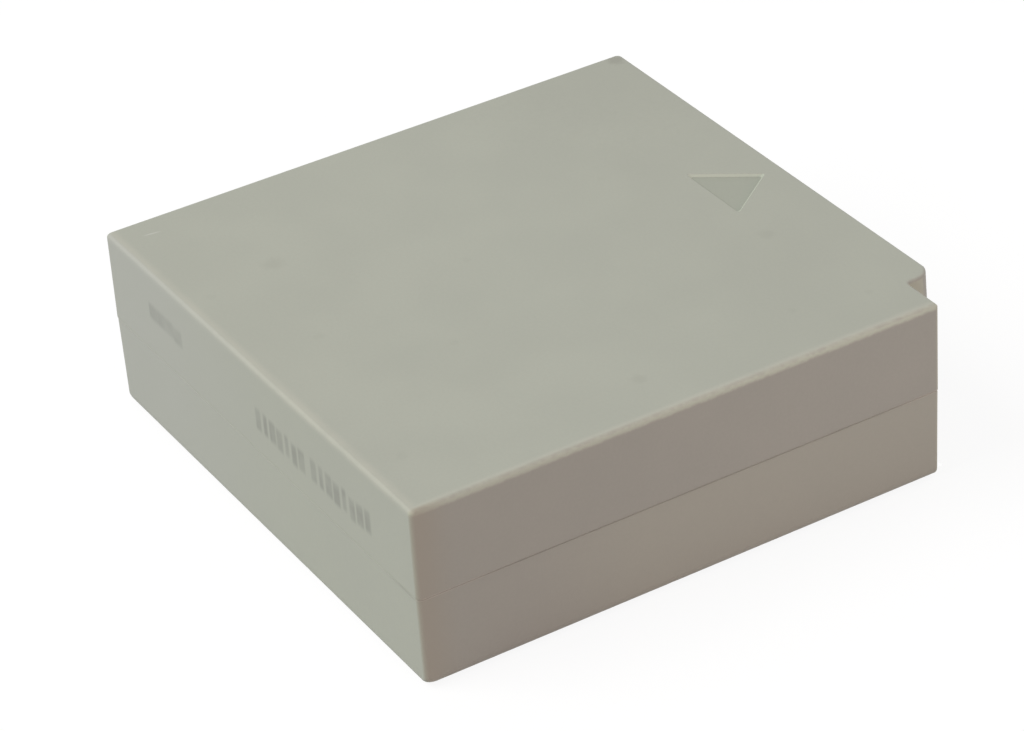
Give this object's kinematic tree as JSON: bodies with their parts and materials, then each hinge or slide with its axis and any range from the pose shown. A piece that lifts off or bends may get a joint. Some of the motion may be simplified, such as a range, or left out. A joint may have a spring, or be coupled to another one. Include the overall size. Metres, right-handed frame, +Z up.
{
  "type": "camera battery",
  "caption": "Flat square rechargeable camera battery pack: a split moulded case with an insertion arrow, a keying notch and slotted end contacts, over stacked cells and a protection board.",
  "frame": {"origin": "middle of the base, on the flat bottom face that the pack lies on", "axes": "+Z up out of the face with the arrow; +Y the way the pack slides into its bay, towards the contact slots; +X across, towards the notched side"},
  "size_m": [0.04, 0.0404, 0.0132],
  "materials": {
    "case_plastic": "fine moulded texture, matte",
    "label_film": "blank matte polyester film",
    "can_aluminium": "drawn, satin",
    "gasket_plastic": "natural moulded",
    "nickel": "rolled nickel strip",
    "tab_aluminium": "rolled clad tab",
    "tape_film": "double-sided tape",
    "foam": "closed-cell foam",
    "fish_paper": "calendered insulating paper",
    "package_plastic": "moulded epoxy",
    "board_laminate": "solder-masked glass laminate",
    "chip_ceramic": "fired ceramic",
    "contact_gold": "gold flash over nickel"
  },
  "bodies": {
    "root": {"upper_shell": "case_plastic", "lower_shell": "case_plastic", "rating_label": "label_film", "lower_cell_can": "can_aluminium", "lower_cell_gasket": "gasket_plastic", "lower_cell_terminal": "nickel", "lower_cell_weld_tab": "tab_aluminium", "upper_cell_can": "can_aluminium", "upper_cell_gasket": "gasket_plastic", "upper_cell_terminal": "nickel", "upper_cell_weld_tab": "tab_aluminium", "base_tape": "tape_film", "cell_tape": "tape_film", "top_pad": "foam", "header_paper": "fish_paper", "board_paper": "fish_paper", "series_link": "nickel", "negative_lead": "nickel", "thermal_cutoff": "package_plastic", "cutoff_lead": "nickel", "positive_lead": "nickel", "circuit_board": "board_laminate", "switch_package": "package_plastic", "guard_package": "package_plastic", "chip_resistors": "chip_ceramic", "chip_capacitors": "chip_ceramic", "thermistor": "chip_ceramic", "negative_contact": "contact_gold", "signal_contact": "contact_gold", "positive_contact": "contact_gold"}
  },
  "joints": []
}
